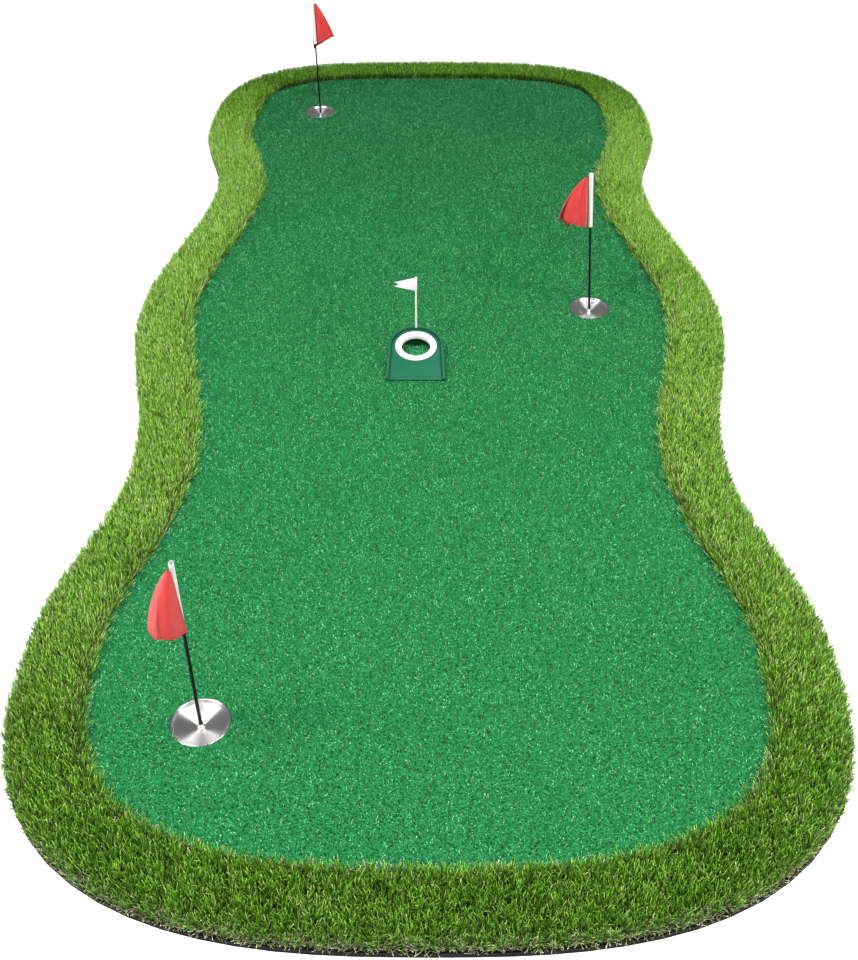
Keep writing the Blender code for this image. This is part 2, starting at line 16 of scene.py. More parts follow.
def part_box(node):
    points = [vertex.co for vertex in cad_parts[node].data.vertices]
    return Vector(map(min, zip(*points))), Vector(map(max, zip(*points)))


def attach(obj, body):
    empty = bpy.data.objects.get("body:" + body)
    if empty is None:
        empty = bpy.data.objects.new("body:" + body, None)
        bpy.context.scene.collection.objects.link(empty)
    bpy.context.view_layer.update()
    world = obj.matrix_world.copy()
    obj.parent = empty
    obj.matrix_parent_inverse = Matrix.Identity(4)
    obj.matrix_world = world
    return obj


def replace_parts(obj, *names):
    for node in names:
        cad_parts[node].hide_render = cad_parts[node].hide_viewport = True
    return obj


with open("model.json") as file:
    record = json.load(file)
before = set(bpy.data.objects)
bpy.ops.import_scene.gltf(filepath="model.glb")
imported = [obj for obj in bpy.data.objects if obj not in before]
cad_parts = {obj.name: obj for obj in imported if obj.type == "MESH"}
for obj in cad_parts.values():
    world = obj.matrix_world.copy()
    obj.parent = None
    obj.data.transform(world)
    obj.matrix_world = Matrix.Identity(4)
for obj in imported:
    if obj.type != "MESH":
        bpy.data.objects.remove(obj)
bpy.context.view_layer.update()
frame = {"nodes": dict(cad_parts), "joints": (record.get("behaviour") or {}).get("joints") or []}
NODES = frame["nodes"]
JOINTS = {joint["name"]: joint for joint in frame["joints"]}

# Places that the frame gives
GREEN_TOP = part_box("green_pile")[1].z
FRINGE_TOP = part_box("fringe_pile")[1].z
BACKING_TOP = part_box("fringe_backing")[1].z
HOLES = ("near", "mid", "far")

# Each strand lies on its own strip of the map, this wide, and keeps this far from the map's edges
STRAND_SHARE = 0.014
MAP_EDGE = 0.02

# How far the outlines' points stand from a cup's rim, and the outer outline from the inner one
CLEAR_OF_CUP = 0.004
LEAST_FRINGE = 0.03

# Tall turf of the fringe. A strip runs along each of its edges, where the blades lean over the edge
# and are shorter. Both ends of the mat are painted darker, as painted shade where the light falls
# off.
FRINGE_SEED = 11
TUFT_SPACING = 0.0071
TUFT_RADIUS = 0.0011
TUFT_KINDS = 7
BLADES_PER_TUFT = 8
BLADE_WIDTH = 0.00155
BLADE_STEPS = 2
BLADE_TIP_SHARE = 0.35
BLADE_SHADE = 0.62
RIM_STRIP, RIM_LEAN = 0.022, 0.14
SEAM_STRIP, SEAM_LEAN = 0.020, 0.45
SHORT_RIM_STRIP, SHORT_RIM = 0.012, 0.30
SHORT_SEAM_STRIP, SHORT_SEAM = 0.014, 0.32
PALE_STRIP, PALE_SHARE, PALE_LIFT = 0.012, 0.12, 0.45
# Painted shade: where the blades start to darken towards the ends, over what length, and how much
PAINTED_SHADE_FROM, PAINTED_SHADE_OVER = 1.15, 0.5
PAINTED_SHADE_FAR_END, PAINTED_SHADE_NEAR_END = 0.38, 0.22

# Thatch between the tall blades, thickest along the outer edge
THATCH_SPACING = 0.0048
THATCH_KNOT = dict(count=4, kinds=8, width=0.0009, length=0.016, leans=(0.1, 0.7), bend=1.2,
                   spread=0.0022, steps=2)
THATCH_RIM_STRIP, THATCH_RIM_LEAN = 0.014, 0.22
THATCH_SEAM_STRIP = 0.012
THATCH_AT_RIM, THATCH_AT_SEAM, THATCH_BETWEEN = 1.0, 0.35, 0.03
THATCH_SHADE = 0.64
THATCH_SIZE = 1.15

# Short turf of the green
GREEN_SEED = 23
PILE_DEPTH = 0.0030
CURL_SPACING = 0.0047
CURL_KNOT = dict(count=2, kinds=12, width=0.0014, length=0.0043, leans=(0.35, 1.0), bend=0.4,
                 spread=0.0018)
CURL_SINK = 0.0004
CURL_SHADE = 0.445
CURL_BESIDE_CUP = 0.0012
PRESSED_SIZE = 0.72
# Turf in the ring's opening is coloured lighter, as painted light against the shadow of the ring
RING_TURF_PAINTED_LIGHT = 0.30
RING_TURF_RADIUS = 0.040

# Flagsticks, cups and cloth
FLAG_BEARINGS = {"near": 255.0, "mid": 180.0, "far": 0.0}
POLE_RADIUS = 0.003
POLE_LENGTH = 0.395
SLEEVE_HALF_WIDTH = 0.0056
SLEEVE_HALF_DEPTH = 0.0044
SLEEVE_WALL = 0.0008
SLEEVE_HEIGHT = 0.147
SLEEVE_ABOVE_POLE = 0.006
FLAG_FLY = 0.175
FLAG_DROP_FROM_TOP = 0.003
FLAG_CLEARANCE = 0.0012
FLAG_SHEET = 0.0007
FLAG_TOP_CUT = 0.06
FLAG_STIFFNESS = {"near": 0.6, "mid": 0.4, "far": 0.3}
FLAG_MOST_LEAN = 0.95
FLAG_RIPPLE = {"near": 0.12, "mid": 0.30, "far": 0.22}
FLAG_PHASE = {"near": 0.4, "mid": 2.1, "far": 4.0}
FLAG_GRID = 72
# The sideways parts of the directions in which the cloth hangs from its top corner, from the hem to
# the free edge
FLAG_FOLDS = {
    "near": [
        (0.08, -0.03), (-0.04, -0.25), (-0.22, -0.28),
        (-0.36, -0.08), (-0.34, 0.14), (-0.20, 0.30),
    ],
    "mid": [
        (-0.01, 0.0), (-0.15, -0.15), (-0.33, -0.06),
        (-0.52, 0.02), (-0.45, 0.20), (-0.26, 0.30),
    ],
    "far": [
        (0.01, 0.0), (0.20, -0.12), (0.43, 0.0),
        (0.35, 0.17), (0.10, 0.24), (-0.10, 0.20),
    ],
}
CUP_SHEET = 0.001
CUP_WALL_INSET = 0.0075
CUP_BORE = 0.0044
CUP_FLAT_RADIUS = 0.011
CUP_DISH_SLOPE = 12.0
TAIL_RADIUS = 0.004
POLE_CLEARANCE = 0.0007
COLLAR_WIDTH = 0.0025
COLLAR_TOP = 0.0019

# Ramp trainer
TRAINER_TILT = 11.0
RING_BORE = 0.037
RING_FACE = 0.0155
RING_FLANGE = 0.0025
RING_SLEEVE = 0.009
RING_WALL = 0.0035
RAMP_RIM_RADIUS = 0.063
RAMP_RIM_SHADOW = 0.009
RAMP_LINE_RADIUS = 0.0585
RAMP_LIP = 0.009

# Studio
CAMERA_PLACE = (0.005, -2.781, 1.709)
CAMERA_DIP = 39.17
CAMERA_TURN = 0.14
CAMERA_LENS = 44.96
FLOOR_SIZE = 40
FLOOR_GAP = 0.0005
WORLD_LIGHT = 0.27
FLOOR_GLOW = 0.9
# Each softbox: its name, its place, where it aims, its size and its power
SOFTBOXES = [
    ("softbox_left", (-2.1, -1.5, 3.4), (0, -0.8, 0), (0.7, 2.2), 210),
    ("softbox_right", (2.1, -1.5, 3.4), (0, -0.8, 0), (0.7, 2.2), 195),
    ("softbox_top", (0.2, -1.0, 4.2), (0, -0.8, 0), (0.6, 0.6), 60),
    ("softbox_front", (0.3, -4.8, 3.2), (0, -0.4, 0.2), (3.0, 0.7), 95),
]

MOST_FACES = 180_000


# ---------------------------------------------------------------- objects and selections


def only(obj):
    """Makes obj the one selected and active object."""
    bpy.ops.object.select_all(action="DESELECT")
    obj.select_set(True)
    bpy.context.view_layer.objects.active = obj


def started(name, adder, **options):
    """Adds a primitive with nothing else selected and names it."""
    bpy.ops.object.select_all(action="DESELECT")
    adder(**options)
    obj = bpy.context.object
    obj.name = name
    obj.data.name = name
    return obj


def pick(obj, test):
    """In edit mode, selects the vertices whose place passes the test, and the edges between."""
    bpy.ops.mesh.select_all(action="DESELECT")
    bpy.ops.mesh.select_mode(type="VERT")
    bm = bmesh.from_edit_mesh(obj.data)
    for vert in bm.verts:
        vert.select_set(test(vert.co))
    bm.select_flush(True)
    bmesh.update_edit_mesh(obj.data)


def settled(obj, smooth_angle=35.0):
    """Puts the object's place into its mesh, and shades it smooth up to an angle."""
    only(obj)
    bpy.ops.object.transform_apply(location=True, rotation=True, scale=True)
    bpy.ops.object.shade_smooth_by_angle(angle=math.radians(smooth_angle))
    return obj


def modified(obj, kind, **settings):
    """Adds a modifier and applies it."""
    only(obj)
    modifier = obj.modifiers.new(kind.title(), kind)
    for key, value in settings.items():
        setattr(modifier, key, value)
    bpy.ops.object.modifier_apply(modifier=modifier.name)
    return obj


def cad_copy(node, name):
    """A copy of a CAD node's shape with its loose triangles merged."""
    made = NODES[node].copy()
    made.data = made.data.copy()
    made.name = name
    made.data.name = name
    bpy.context.scene.collection.objects.link(made)
    for key in list(made.keys()):
        del made[key]
    made.parent = None
    made.data.materials.clear()
    only(made)
    bpy.ops.object.mode_set(mode="EDIT")
    bpy.ops.mesh.select_all(action="SELECT")
    bpy.ops.mesh.remove_doubles(threshold=2e-6)
    bpy.ops.mesh.dissolve_limited(angle_limit=math.radians(1.0))
    bpy.ops.object.mode_set(mode="OBJECT")
    if made.data.has_custom_normals:
        bpy.ops.mesh.customdata_custom_splitnormals_clear()
    return made


def turned(name, profile, steps=96, closed=False):
    """A shape turned round the Z axis. A ring of edges is pulled through each (radius, height), and
    its open ends are filled, or joined where the profile is a closed loop."""
    radius, height = profile[0]
    obj = started(name, bpy.ops.mesh.primitive_circle_add, vertices=steps, radius=radius,
                  location=(0, 0, 0))
    bpy.ops.object.mode_set(mode="EDIT")
    bpy.ops.transform.translate(value=(0, 0, height))
    for next_radius, next_height in profile[1:] + profile[:1] * closed:
        share = next_radius / radius
        bpy.ops.mesh.extrude_edges_move()
        bpy.ops.transform.resize(value=(share, share, 1), center_override=(0, 0, 0))
        bpy.ops.transform.translate(value=(0, 0, next_height - height))
        radius, height = next_radius, next_height
    bpy.ops.mesh.select_all(action="SELECT")
    bpy.ops.mesh.remove_doubles(threshold=1e-6)
    if not closed:
        bpy.ops.mesh.fill_holes(sides=0)
    bpy.ops.mesh.select_all(action="SELECT")
    bpy.ops.mesh.normals_make_consistent(inside=False)
    bpy.ops.object.mode_set(mode="OBJECT")
    return obj


# ---------------------------------------------------------------- materials


class Wire:
    """A node's output, so that shader maths reads as an expression."""

    def __init__(self, finish, socket):
        self.finish = finish
        self.socket = socket

    def __add__(self, other):
        return self.finish.maths("ADD", self, other)

    def __radd__(self, other):
        return self.finish.maths("ADD", other, self)

    def __sub__(self, other):
        return self.finish.maths("SUBTRACT", self, other)

    def __rsub__(self, other):
        return self.finish.maths("SUBTRACT", other, self)

    def __mul__(self, other):
        return self.finish.maths("MULTIPLY", self, other)

    def __rmul__(self, other):
        return self.finish.maths("MULTIPLY", other, self)

    def __pow__(self, other):
        return self.finish.maths("POWER", self, other)


class Finish:
    """A material of one Principled shader, with the nodes that feed it."""

    def __init__(self, name, colour=(0.8, 0.8, 0.8), **constants):
        self.material = bpy.data.materials.new(name)
        self.material.use_nodes = True
        self.tree = self.material.node_tree
        self.shader = self.tree.nodes["Principled BSDF"]
        self.set(base_color=(*colour, 1.0), **constants)

    def set(self, **values):
        """Sets or links the shader's sockets, named in lower case with underscores."""
        for key, value in values.items():
            label = key.replace("_", " ").title().replace("Ior", "IOR")
            self.feed(self.shader.inputs[label], value)

    def feed(self, socket, value):
        if isinstance(value, Wire):
            self.tree.links.new(value.socket, socket)
        else:
            socket.default_value = value

    def node(self, kind, settings=None, output=0, numbered=None, **inputs):
        """A node of a type: its settings first, then its sockets by name, and others by number."""
        made = self.tree.nodes.new("ShaderNode" + kind)
        for key, value in (settings or {}).items():
            setattr(made, key, value)
        for key, value in inputs.items():
            self.feed(made.inputs[key], value)
        for number, value in (numbered or {}).items():
            self.feed(made.inputs[number], value)
        return Wire(self, made.outputs[output])

    def maths(self, operation, *values):
        """One step of shader maths on wires or numbers."""
        return self.node("Math", {"operation": operation}, numbered=dict(enumerate(values)))

    def fade(self, value, start, end):
        """A soft step from 0 where the value is at the start to 1 where it is at the end."""
        return self.node("MapRange", {"interpolation_type": "SMOOTHSTEP"},
                         numbered={1: start, 2: end}, Value=value)

    def line(self, value, place, half=0.0006):
        """1 on a thin line where the value passes a place, and 0 away from it."""
        return self.fade(self.maths("ABSOLUTE", value - place), half, 0.0)

    def place(self, scale=(1, 1, 1), centre=(0, 0, 0)):
        """Object coordinates, moved to a centre and scaled."""
        at = self.node("TexCoord", output="Object")
        moved = self.node("Mapping", {"vector_type": "TEXTURE"}, Vector=at, Location=centre)
        return self.node("Mapping", Vector=moved, Scale=scale)

    def on_map(self, name):
        """Places on the piece's own map."""
        return self.node("UVMap", {"uv_map": name})

    def parts(self, vector):
        """The first two parts of a vector."""
        split = self.node("SeparateXYZ", Vector=vector).socket.node
        return Wire(self, split.outputs["X"]), Wire(self, split.outputs["Y"])

    def noise(self, at, scale, detail=2.0, roughness=0.5):
        return self.node("TexNoise", Vector=at, Scale=scale, Detail=detail, Roughness=roughness)

    def threads(self, at, count, distortion=0.0):
        """The warp and the weft of a plain weave."""
        return [
            self.node("TexWave", {"bands_direction": way}, Vector=at, Scale=count,
                      Distortion=distortion)
            for way in "XY"
        ]

    def colours(self, value, stops):
        """A ramp of colours, from stops of (place, colour)."""
        made = self.node("ValToRGB", Fac=value)
        ramp = made.socket.node.color_ramp
        while len(ramp.elements) < len(stops):
            ramp.elements.new(0.5)
        for element, (place, colour) in zip(ramp.elements, stops):
            element.position = place
            element.color = (*colour, 1.0)
        return made

    def mix(self, share, first, second, blend="MIX"):
        """Two colours mixed. A colour is a wire or three numbers."""
        first, second = (c if isinstance(c, Wire) else (*c, 1.0) for c in (first, second))
        settings = {"data_type": "RGBA", "blend_type": blend}
        return self.node("Mix", settings, output=2, numbered={0: share, 6: first, 7: second})

    def bump(self, height, distance):
        return self.node("Bump", Height=height, Distance=distance)

    def on(self, obj, slot=None):
        """Gives the object this finish. The slot is not used."""
        obj.data.materials.clear()
        obj.data.materials.append(self.material)
        return obj


def grey(value):
    return (value, value, value)


def strand_finish(name, shades, root_shade, tip_light, roughness):
    """Turf yarn. Each strand lies on its own strip of the map: across by shade, up by height. Up
    the strand the colour goes from painted shade at the root to painted light at the tip.
    """
    finish = Finish(name, roughness=roughness, specular_ior_level=0.25)
    across, up = finish.parts(finish.on_map("OFBake"))
    shade = finish.colours(across, shades)
    # Painted shade and light: darker towards the root, where the pile is in shade, and lighter at
    # the tip, where light catches it
    height = finish.colours(up, [
        (0.0, root_shade),
        (0.66, (0.34, 0.42, 0.28)),
        (0.88, (0.95, 1.0, 0.9)),
        (1.0, tip_light),
    ])
    finish.set(base_color=finish.mix(1.0, shade, height, "MULTIPLY"))
    return finish


def fringe_finish():
    """Olive to pale lime, from one blade to the next, with painted shade at the roots and whitish
    tips of painted light.
    """
    shades = [
        (0.0, (0.014, 0.062, 0.003)),
        (0.22, (0.062, 0.195, 0.007)),
        (0.5, (0.165, 0.400, 0.020)),
        (0.75, (0.320, 0.600, 0.070)),
        (0.92, (0.480, 0.700, 0.170)),
        (1.0, (0.560, 0.640, 0.300)),
    ]
    # Painted shade at the root and painted light at the tip, multiplied into each blade's colour
    root_shade, tip_light = (0.06, 0.08, 0.05), (1.45, 1.24, 1.50)
    return strand_finish("fringe blades", shades, root_shade, tip_light, 0.55)


def thatch_finish():
    """Dry straw, from olive to buff."""
    shades = [
        (0.0, (0.06, 0.08, 0.02)),
        (0.35, (0.18, 0.19, 0.08)),
        (0.7, (0.38, 0.36, 0.22)),
        (1.0, (0.62, 0.60, 0.44)),
    ]
    # Painted shade at the root and a little painted light at the tip
    return strand_finish("straw thatch", shades, (0.45, 0.45, 0.4), (1.1, 1.1, 1.1), 0.6)


def green_finish():
    """Bluish green, with a few pale fibres."""
    shades = [
        (0.0, (0.001, 0.022, 0.006)),
        (0.3, (0.004, 0.120, 0.030)),
        (0.55, (0.014, 0.290, 0.080)),
        (0.8, (0.060, 0.500, 0.190)),
        (1.0, (0.280, 0.780, 0.440)),
    ]
    # Painted shade at the root and a little painted light at the tip
    return strand_finish("green pile", shades, (0.25, 0.28, 0.25), (1.1, 1.1, 1.1), 0.6)


def green_bed_finish():
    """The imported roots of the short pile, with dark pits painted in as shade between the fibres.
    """
    finish = Finish("green roots", roughness=0.85, specular_ior_level=0.2)
    at = finish.place()
    grain = finish.noise(at, 420.0, 3.0, 0.7)
    painted_pit_shade = finish.noise(at, 190.0, 2.0)
    # Painted shade: the pit noise darkens the bed where the gaps between fibres lie in shade
    finish.set(base_color=finish.colours(grain * 0.7 + painted_pit_shade * 0.3, [
        (0.30, (0.001, 0.040, 0.010)),
        (0.50, (0.006, 0.130, 0.034)),
        (0.70, (0.018, 0.260, 0.080)),
    ]))
    finish.set(normal=finish.bump(grain, 0.002))
    return finish


def backing_finish():
    """Coated weave of the backing, nearly black green."""
    finish = Finish("turf backing", roughness=0.95, specular_ior_level=0.08)
    at = finish.place()
    weave = finish.noise(at, 300.0, 2.0)
    finish.set(base_color=finish.colours(weave, [
        (0.35, (0.003, 0.005, 0.002)),
        (0.65, (0.014, 0.020, 0.007)),
    ]))
    finish.set(normal=finish.bump(weave, 0.0008))
    return finish


def rubber_finish():
    """Black foam rubber with fine pores and cloudy patches of tone."""
    finish = Finish("foam rubber", specular_ior_level=0.08)
    at = finish.place()
    pores = finish.node("TexVoronoi", Vector=at, Scale=420.0)
    clouds = finish.noise(at, 26.0, 4.0)
    finish.set(base_color=finish.colours(clouds, [
        (0.35, (0.002, 0.002, 0.002)),
        (0.70, (0.010, 0.010, 0.011)),
    ]))
    finish.set(roughness=clouds * 0.25 + 0.6)
    finish.set(normal=finish.bump(pores, 0.0006))
    return finish


def steel_finish(hole, centre):
    """Spun stainless steel, brushed in fine rings round the cup's axis."""
    finish = Finish("spun steel " + hole, metallic=1.0, anisotropic=0.95, anisotropic_rotation=0.25)
    at = finish.place(centre=(centre.x, centre.y, 0))
    x, y = finish.parts(at)
    radius = (x * x + y * y) ** 0.5
    rings = finish.node("TexNoise", {"noise_dimensions": "1D"}, W=radius, Scale=2600.0, Detail=2.0)
    smears = finish.noise(at, 45.0, 3.0)
    finish.set(base_color=finish.colours(rings, [
        (0.3, (0.40, 0.39, 0.39)),
        (0.7, (0.62, 0.61, 0.61)),
    ]))
    finish.set(roughness=smears * 0.14 + 0.30)
    finish.set(normal=finish.bump(rings, 0.00004))
    return finish


def nickel_finish():
    """Turned nickel with faint tool marks along its height."""
    finish = Finish("turned nickel", metallic=1.0)
    marks = finish.noise(finish.place(scale=(1, 1, 40)), 120.0)
    finish.set(base_color=finish.colours(marks, [
        (0.3, (0.55, 0.53, 0.50)),
        (0.7, (0.72, 0.70, 0.66)),
    ]))
    finish.set(roughness=marks * 0.2 + 0.18)
    return finish


def pole_finish():
    """Black fibreglass rod with faint lengthwise grain."""
    finish = Finish("black rod", specular_ior_level=0.15)
    grain = finish.noise(finish.place(scale=(1, 1, 0.02)), 1800.0)
    finish.set(base_color=finish.colours(grain, [(0.35, grey(0.002)), (0.7, grey(0.008))]))
    finish.set(roughness=grain * 0.2 + 0.45)
    return finish


def webbing_finish():
    """White ribbed webbing with a row of stitches beside the cloth. Its map is in metres."""
    finish = Finish("white webbing", sheen_weight=0.3, sheen_roughness=0.4)
    at = finish.on_map("Cloth")
    across, along = finish.parts(at)
    warp, weft = finish.threads(at, 700.0, 0.4)
    slub = finish.noise(at, 60.0, 3.0)
    white = finish.mix(warp * weft * 0.5 + slub * 0.6, (0.52, 0.49, 0.50), (0.74, 0.71, 0.72))
    dashes = finish.maths("LESS_THAN", finish.maths("FRACT", along * 320.0), 0.6)
    stitch = finish.line(across, 0.0035, 0.0005) * dashes
    finish.set(base_color=finish.mix(stitch * 0.7, white, (0.34, 0.20, 0.20)))
    finish.set(roughness=slub * 0.2 + 0.7)
    finish.set(normal=finish.bump(warp + weft, 0.0002))
    return finish


def flag_finish():
    """Red nylon: a fine plain weave, a doubled hem round the cut edge and a row of stitches."""
    finish = Finish("red nylon", sheen_weight=0.2, sheen_roughness=0.3,
                    sheen_tint=(1.0, 0.62, 0.60, 1.0))
    at = finish.on_map("Cloth")
    warp, weft = finish.threads(at, 520.0)
    slub = finish.noise(at, 55.0, 4.0)
    edge = finish.node("Attribute", {"attribute_name": "hem"}, output="Fac")
    hem = finish.fade(edge, 0.0070, 0.0060)
    seam = finish.fade(finish.maths("ABSOLUTE", edge - 0.0062), 0.0007, 0.0002)
    red = finish.mix(slub * 0.8 + warp * weft * 0.2, (0.32, 0.003, 0.003), (0.68, 0.026, 0.022))
    red = finish.mix(hem * 0.6, red, (0.36, 0.004, 0.004))
    finish.set(base_color=finish.mix(seam * 0.6, red, (0.20, 0.002, 0.002)))
    finish.set(roughness=slub * 0.2 + 0.5)
    finish.set(normal=finish.bump(warp + weft - seam * 2.0, 0.00025))
    return finish


def ramp_finish():
    """Satin green moulding, with painted shade inside its raised rim, and a line moulded round it.
    """
    finish = Finish("green moulding", specular_ior_level=0.25)
    at = finish.place()
    skin = finish.noise(at, 500.0)
    green = finish.mix(finish.noise(at, 12.0), (0.003, 0.070, 0.033), (0.006, 0.092, 0.044))
    low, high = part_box("trainer_ramp")
    centre = ((low.x + high.x) / 2, high.y - (high.x - low.x) / 2 + 0.005, 0)
    x, y = finish.parts(finish.place(centre=centre))
    aside = finish.maths("ABSOLUTE", x) + finish.maths("MINIMUM", y, 0.0) * 0.043
    reach = (aside * aside + finish.maths("MAXIMUM", y, 0.0) ** 2.0) ** 0.5
    # Painted shade: the ramp's floor is coloured darker along the inside of its raised rim
    rim_painted_shade = finish.fade(reach, RAMP_RIM_RADIUS - RAMP_RIM_SHADOW, RAMP_RIM_RADIUS)
    on_floor = finish.maths("LESS_THAN", reach, RAMP_RIM_RADIUS + 0.0002)
    finish.set(base_color=finish.mix(rim_painted_shade * on_floor * 0.75, green, (0.001, 0.024, 0.009)))
    finish.set(roughness=skin * 0.14 + 0.38)
    lip = finish.line(y, low.y - centre[1] + RAMP_LIP)
    arc = finish.line((x * x + y * y) ** 0.5, RAMP_LINE_RADIUS)
    arc = arc * finish.maths("LESS_THAN", y, -0.030)
    finish.set(normal=finish.bump(skin * 0.05 - lip - arc, 0.0008))
    return finish


def moulded_finish(name, colour, light, roughness, grain=260.0):
    """Moulded plastic with a fine satin grain and slight colour drift."""
    finish = Finish(name)
    at = finish.place()
    skin = finish.noise(at, grain, 3.0)
    finish.set(base_color=finish.mix(finish.noise(at, 18.0), colour, light))
    finish.set(roughness=skin * 0.16 + roughness)
    finish.set(normal=finish.bump(skin, 0.00006))
    return finish


# ---------------------------------------------------------------- outlines of the turf


def top_points(node):
    """The different (x, y) places of a node's topmost vertices."""
    co = np.empty(len(NODES[node].data.vertices) * 3)
    NODES[node].data.vertices.foreach_get("co", co)
    co = co.reshape(-1, 3)
    high = co[co[:, 2] > co[:, 2].max() - 1e-4, :2]
    return np.unique(np.round(high, 5), axis=0)


def in_order(points):
    """Points of an outline that every ray from the middle crosses once, in order round it."""
    return points[np.argsort(np.arctan2(points[:, 1], points[:, 0]))]


def away_from(points, outline):
    """Distance of each point to a closed outline, and the direction from it."""
    start, end = outline, np.roll(outline, -1, axis=0)
    along = end - start
    best = np.full(len(points), 9.0)
    away = np.zeros((len(points), 2))
    for a, d in zip(start, along):
        share = np.clip(((points - a) @ d) / (d @ d), 0, 1)
        gap = points - (a + share[:, None] * d)
        distance = np.hypot(gap[:, 0], gap[:, 1])
        nearer = distance < best
        best[nearer] = distance[nearer]
        away[nearer] = gap[nearer] / np.maximum(distance[nearer], 1e-9)[:, None]
    return best, away


def inside(points, outline):
    """Whether each point lies inside a closed outline."""
    odd = np.zeros(len(points), bool)
    for a, b in zip(outline, np.roll(outline, -1, axis=0)):
        level = (a[1] > points[:, 1]) != (b[1] > points[:, 1])
        rise = b[1] - a[1] if b[1] != a[1] else 1e-12
        crossing = a[0] + (points[:, 1] - a[1]) / rise * (b[0] - a[0])
        odd ^= level & (points[:, 0] < crossing)
    return odd


def round_box(node):
    """The middle of a node's box, and half its width."""
    low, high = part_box(node)
    return (low + high) / 2, (high.x - low.x) / 2


def hole_gaps(points):
    """Each point's distance to the nearest cup's rim, negative inside it."""
    gap = np.full(len(points), 9.0)
    for hole in HOLES:
        centre, radius = round_box(hole + "_cup")
        from_centre = np.hypot(points[:, 0] - centre.x, points[:, 1] - centre.y)
        gap = np.minimum(gap, from_centre - radius)
    return gap


def close_to(gap, strip):
    """1 where the gap to an edge is none, fading to 0 across a strip."""
    return np.clip(1 - gap / strip, 0, 1)


def fringe_outlines():
    """The outer and the inner outline of the fringe. The green's own edge is the inner one."""
    green = top_points("green_pile")
    inner = in_order(green[hole_gaps(green) > CLEAR_OF_CUP])
    ring = top_points("fringe_pile")
    return in_order(ring[away_from(ring, inner)[0] > LEAST_FRINGE]), inner


def sown(rng, spacing, low, high):
    """Jittered places on a staggered grid over a rectangle."""
    across = np.arange(low[0], high[0], spacing)
    along = np.arange(low[1], high[1], spacing * 0.866)
    x, y = np.meshgrid(across, along)
    x = x + (np.arange(len(along)) % 2)[:, None] * spacing / 2
    points = np.stack([x.ravel(), y.ravel()], 1)
    return points + rng.uniform(-0.42, 0.42, points.shape) * spacing


def drift(points, size, rng, waves=9):
    """A slow variation over the mat, about -1 to 1, from a few crossed waves."""
    angle = rng.uniform(0, 2 * np.pi, waves)
    pace = 2 * np.pi / size * rng.uniform(0.6, 1.6, waves)
    phase = rng.uniform(0, 2 * np.pi, waves)
    ways = np.stack([np.cos(angle), np.sin(angle)])
    return np.sin(points @ ways * pace + phase).sum(1) / math.sqrt(waves) / 1.2


# ---------------------------------------------------------------- turf strands


def strand(width, length, lean, bend, turn, steps, tip_share):
    """One strand of yarn, pulled up step by step from a short edge, leaning and bending."""
    obj = started("strand", bpy.ops.mesh.primitive_plane_add, size=width)
    bpy.ops.object.mode_set(mode="EDIT")
    pick(obj, lambda place: place.y > 0)
    bpy.ops.mesh.delete(type="VERT")
    bpy.ops.mesh.select_all(action="SELECT")
    bpy.ops.transform.translate(value=(0, width / 2, 0))
    slope = lean
    shares = [1 - (1 - tip_share) * (i / steps) ** 1.6 for i in range(steps + 1)]
    at = Vector((0, 0, 0))
    for i in range(steps):
        step = Vector((0, math.sin(slope), math.cos(slope))) * length / steps
        bpy.ops.mesh.extrude_edges_move(TRANSFORM_OT_translate={"value": step})
        at += step
        taper = shares[i + 1] / shares[i]
        bpy.ops.transform.resize(value=(taper, 1, 1), center_override=at)
        slope += bend / steps
    bpy.ops.object.mode_set(mode="OBJECT")
    obj.rotation_euler = (0, 0, turn)
    return obj


class Tuft:
    """The strands that leave one stitch, as arrays that can be planted many times."""

    def __init__(self, strands, shades):
        places, faces, maps = [], [], []
        first = 0
        for obj, shade in zip(strands, shades):
            mesh = obj.data
            mesh.calc_loop_triangles()
            turn = Matrix.Rotation(obj.rotation_euler.z, 3, "Z")
            co = np.array([turn @ v.co + obj.location for v in mesh.vertices])
            tri = np.array([t.vertices for t in mesh.loop_triangles])
            side = np.array([v.co.x for v in mesh.vertices])
            up = np.linspace(MAP_EDGE, 1 - MAP_EDGE, len(co) // 2).repeat(2)
            across = shade + side / np.abs(side).max() * STRAND_SHARE / 2
            places.append(co)
            faces.append(tri + first)
            maps.append(np.stack([across, up], 1))
            first += len(co)
            bpy.data.objects.remove(obj, do_unlink=True)
        self.places = np.concatenate(places)
        self.faces = np.concatenate(faces)
        self.map = np.concatenate(maps)


def fringe_tufts(rng):
    """Tufts of tall blades that spread from one stitch."""
    tufts = []
    for _ in range(TUFT_KINDS):
        strands, shades = [], []
        for i in range(BLADES_PER_TUFT):
            turn = 2 * math.pi * (i + rng.uniform(-0.4, 0.4)) / BLADES_PER_TUFT
            length = (FRINGE_TOP - BACKING_TOP) * rng.uniform(0.90, 1.06)
            lean = rng.uniform(-0.05, 0.44)
            blade = strand(
                BLADE_WIDTH * rng.uniform(0.8, 1.25), length, lean, rng.uniform(0.0, 0.8), turn,
                BLADE_STEPS, BLADE_TIP_SHARE,
            )
            blade.location = (TUFT_RADIUS * math.cos(turn), TUFT_RADIUS * math.sin(turn), 0)
            strands.append(blade)
            shades.append(rng.normal(0, 0.24))
        tufts.append(Tuft(strands, shades))
    return tufts


def curl_knots(rng, count, kinds, width, length, leans, bend, spread, steps=1):
    """Knots of short curled fibres that lie over at steep leans."""
    knots = []
    for _ in range(kinds):
        strands, shades = [], []
        for i in range(count):
            turn = 2 * math.pi * (i + rng.uniform(-0.4, 0.4)) / count
            fibre = strand(
                width * rng.uniform(0.75, 1.3), length * rng.uniform(0.8, 1.2),
                rng.uniform(*leans), bend * rng.uniform(0.6, 1.4), turn, steps, 0.6,
            )
            fibre.location = (spread * math.sin(turn * 5), spread * math.cos(turn * 3), 0)
            strands.append(fibre)
            shades.append(rng.normal(0, 0.38))
        knots.append(Tuft(strands, shades))
    return knots


